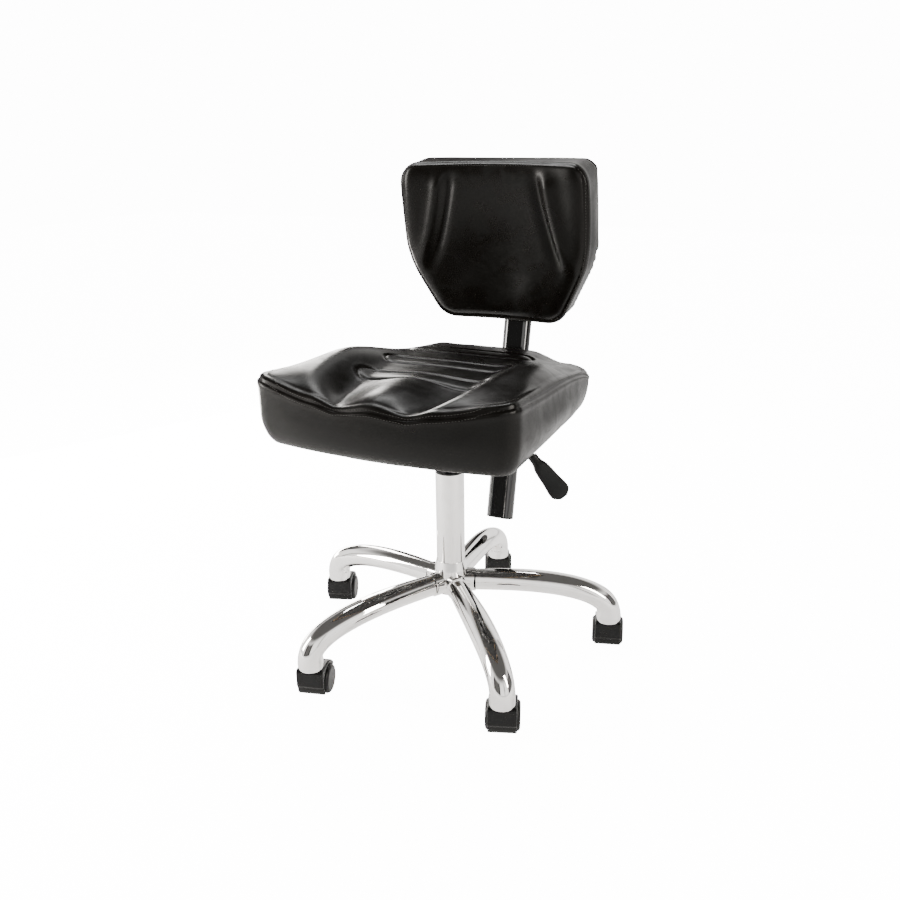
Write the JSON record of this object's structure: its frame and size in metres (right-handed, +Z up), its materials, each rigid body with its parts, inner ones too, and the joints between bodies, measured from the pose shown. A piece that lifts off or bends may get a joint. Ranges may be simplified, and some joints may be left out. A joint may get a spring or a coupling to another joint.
{
  "type": "rolling stylist stool",
  "caption": "Height-adjustable rolling stool on a five-arm caster base, with a contoured padded seat and a tilting, sliding padded back on a leaning post.",
  "frame": {"origin": "on the floor under the axis of the column", "axes": "+Z up along the column, -Y the way the seat faces, +X the sitter's left"},
  "size_m": [0.6045, 0.6187, 0.8609],
  "materials": {
    "chrome": "mirror chrome plate",
    "steel": "zinc-plated steel",
    "black_paint": "gloss black paint",
    "black_plastic": "satin black moulding",
    "wheel_plastic": "black nylon",
    "vinyl": "glossy near-black vinyl with a faint grain",
    "plywood": "birch plywood",
    "lining": "black non-woven lining"
  },
  "bodies": {
    "base": {"hub": "chrome", "arm_1": "chrome", "arm_2": "chrome", "arm_3": "chrome", "arm_4": "chrome", "arm_5": "chrome", "stem_sockets": "steel", "caster_stems": "steel", "column_tube": "chrome", "guide_bush": "black_plastic", "thrust_bearing": "steel"},
    "spindle": {"piston_rod": "steel", "retaining_clip": "steel"},
    "seat": {"gas_cylinder": "steel", "taper_housing": "black_paint", "mechanism_plate": "black_paint", "lever_pin": "steel", "seat_bolts": "steel", "bracket_bolts": "steel", "tee_nuts": "steel", "seat_board": "plywood", "seat_under_cover": "lining", "seat_cushion": "vinyl", "back_bracket": "black_paint", "post_sleeve": "black_paint", "sleeve_liner": "black_plastic"},
    "release": {"release_pin": "steel"},
    "lever": {"lever_rod": "black_paint", "lever_paddle": "black_plastic"},
    "clamp": {"clamp_screw": "steel", "clamp_knob": "black_plastic"},
    "post": {"post_tube": "black_paint", "post_caps": "black_plastic", "post_head": "black_paint", "hinge_bolt": "steel"},
    "back": {"back_plate": "black_paint", "back_screws": "steel", "back_board": "plywood", "back_cushion": "vinyl", "back_shell": "black_plastic"},
    "caster_1": {"caster_hood_1": "black_plastic", "caster_axle_1": "steel"},
    "wheel_left_1": {"wheel_left_1": "wheel_plastic"},
    "wheel_right_1": {"wheel_right_1": "wheel_plastic"},
    "caster_2": {"caster_hood_2": "black_plastic", "caster_axle_2": "steel"},
    "wheel_left_2": {"wheel_left_2": "wheel_plastic"},
    "wheel_right_2": {"wheel_right_2": "wheel_plastic"},
    "caster_3": {"caster_hood_3": "black_plastic", "caster_axle_3": "steel"},
    "wheel_left_3": {"wheel_left_3": "wheel_plastic"},
    "wheel_right_3": {"wheel_right_3": "wheel_plastic"},
    "caster_4": {"caster_hood_4": "black_plastic", "caster_axle_4": "steel"},
    "wheel_left_4": {"wheel_left_4": "wheel_plastic"},
    "wheel_right_4": {"wheel_right_4": "wheel_plastic"},
    "caster_5": {"caster_hood_5": "black_plastic", "caster_axle_5": "steel"},
    "wheel_left_5": {"wheel_left_5": "wheel_plastic"},
    "wheel_right_5": {"wheel_right_5": "wheel_plastic"}
  },
  "joints": [
    {"name": "seat_swivel", "type": "hinge", "parent": "base", "child": "spindle", "pos_m": [0, 0, 0.3], "axis": [0, 0, 1], "continuous": true},
    {"name": "seat_lift", "type": "slide", "parent": "spindle", "child": "seat", "axis": [0, 0, 1], "range_m": [0, 0.14]},
    {"name": "lever_lift", "type": "hinge", "parent": "seat", "child": "lever", "pos_m": [0.033, 0, 0.421], "axis": [0, -1, 0], "range_deg": [0, 2.8], "stiffness_Nm_per_rad": 6, "springref_deg": -8.59},
    {"name": "release_press", "type": "slide", "parent": "seat", "child": "release", "axis": [0, 0, -1], "range_m": [0, 0.0017]},
    {"name": "clamp_turn", "type": "hinge", "parent": "seat", "child": "clamp", "pos_m": [0, 0.30563, 0.43504], "axis": [0, 0.9744, -0.225], "range_deg": [0, 360]},
    {"name": "back_height", "type": "slide", "parent": "seat", "child": "post", "axis": [0, 0.225, 0.9744], "range_m": [0, 0.14]},
    {"name": "back_tilt", "type": "hinge", "parent": "post", "child": "back", "pos_m": [0, 0.30415, 0.65296], "axis": [-1, 0, 0], "range_deg": [-4, 18]},
    {"name": "caster_swivel_1", "type": "hinge", "parent": "base", "child": "caster_1", "pos_m": [0.18893, -0.21205, 0.05], "axis": [0, 0, 1], "continuous": true},
    {"name": "wheel_spin_left_1", "type": "hinge", "parent": "caster_1", "child": "wheel_left_1", "pos_m": [0.1814, -0.19137, 0.025], "axis": [-0.9397, -0.342, 0], "continuous": true},
    {"name": "wheel_spin_right_1", "type": "hinge", "parent": "caster_1", "child": "wheel_right_1", "pos_m": [0.1814, -0.19137, 0.025], "axis": [-0.9397, -0.342, 0], "continuous": true},
    {"name": "caster_swivel_2", "type": "hinge", "parent": "base", "child": "caster_2", "pos_m": [0.26005, 0.11415, 0.05], "axis": [0, 0, 1], "continuous": true},
    {"name": "wheel_spin_left_2", "type": "hinge", "parent": "caster_2", "child": "wheel_left_2", "pos_m": [0.25362, 0.13519, 0.025], "axis": [-0.9563, -0.2924, 0], "continuous": true},
    {"name": "wheel_spin_right_2", "type": "hinge", "parent": "caster_2", "child": "wheel_right_2", "pos_m": [0.25362, 0.13519, 0.025], "axis": [-0.9563, -0.2924, 0], "continuous": true},
    {"name": "caster_swivel_3", "type": "hinge", "parent": "base", "child": "caster_3", "pos_m": [-0.02821, 0.2826, 0.05], "axis": [0, 0, 1], "continuous": true},
    {"name": "wheel_spin_left_3", "type": "hinge", "parent": "caster_3", "child": "wheel_left_3", "pos_m": [-0.0368, 0.30285, 0.025], "axis": [-0.9205, -0.3907, 0], "continuous": true},
    {"name": "wheel_spin_right_3", "type": "hinge", "parent": "caster_3", "child": "wheel_right_3", "pos_m": [-0.0368, 0.30285, 0.025], "axis": [-0.9205, -0.3907, 0], "continuous": true},
    {"name": "caster_swivel_4", "type": "hinge", "parent": "base", "child": "caster_4", "pos_m": [-0.27748, 0.0605, 0.05], "axis": [0, 0, 1], "continuous": true},
    {"name": "wheel_spin_left_4", "type": "hinge", "parent": "caster_4", "child": "wheel_left_4", "pos_m": [-0.28501, 0.08117, 0.025], "axis": [-0.9397, -0.342, 0], "continuous": true},
    {"name": "wheel_spin_right_4", "type": "hinge", "parent": "caster_4", "child": "wheel_right_4", "pos_m": [-0.28501, 0.08117, 0.025], "axis": [-0.9397, -0.342, 0], "continuous": true},
    {"name": "caster_swivel_5", "type": "hinge", "parent": "base", "child": "caster_5", "pos_m": [-0.14329, -0.2452, 0.05], "axis": [0, 0, 1], "continuous": true},
    {"name": "wheel_spin_left_5", "type": "hinge", "parent": "caster_5", "child": "wheel_left_5", "pos_m": [-0.14898, -0.22395, 0.025], "axis": [-0.9659, -0.2588, 0], "continuous": true},
    {"name": "wheel_spin_right_5", "type": "hinge", "parent": "caster_5", "child": "wheel_right_5", "pos_m": [-0.14898, -0.22395, 0.025], "axis": [-0.9659, -0.2588, 0], "continuous": true}
  ],
  "couplings": [
    {"joint": "release_press", "follows": "lever_lift", "m_per_rad": 0.033}
  ]
}
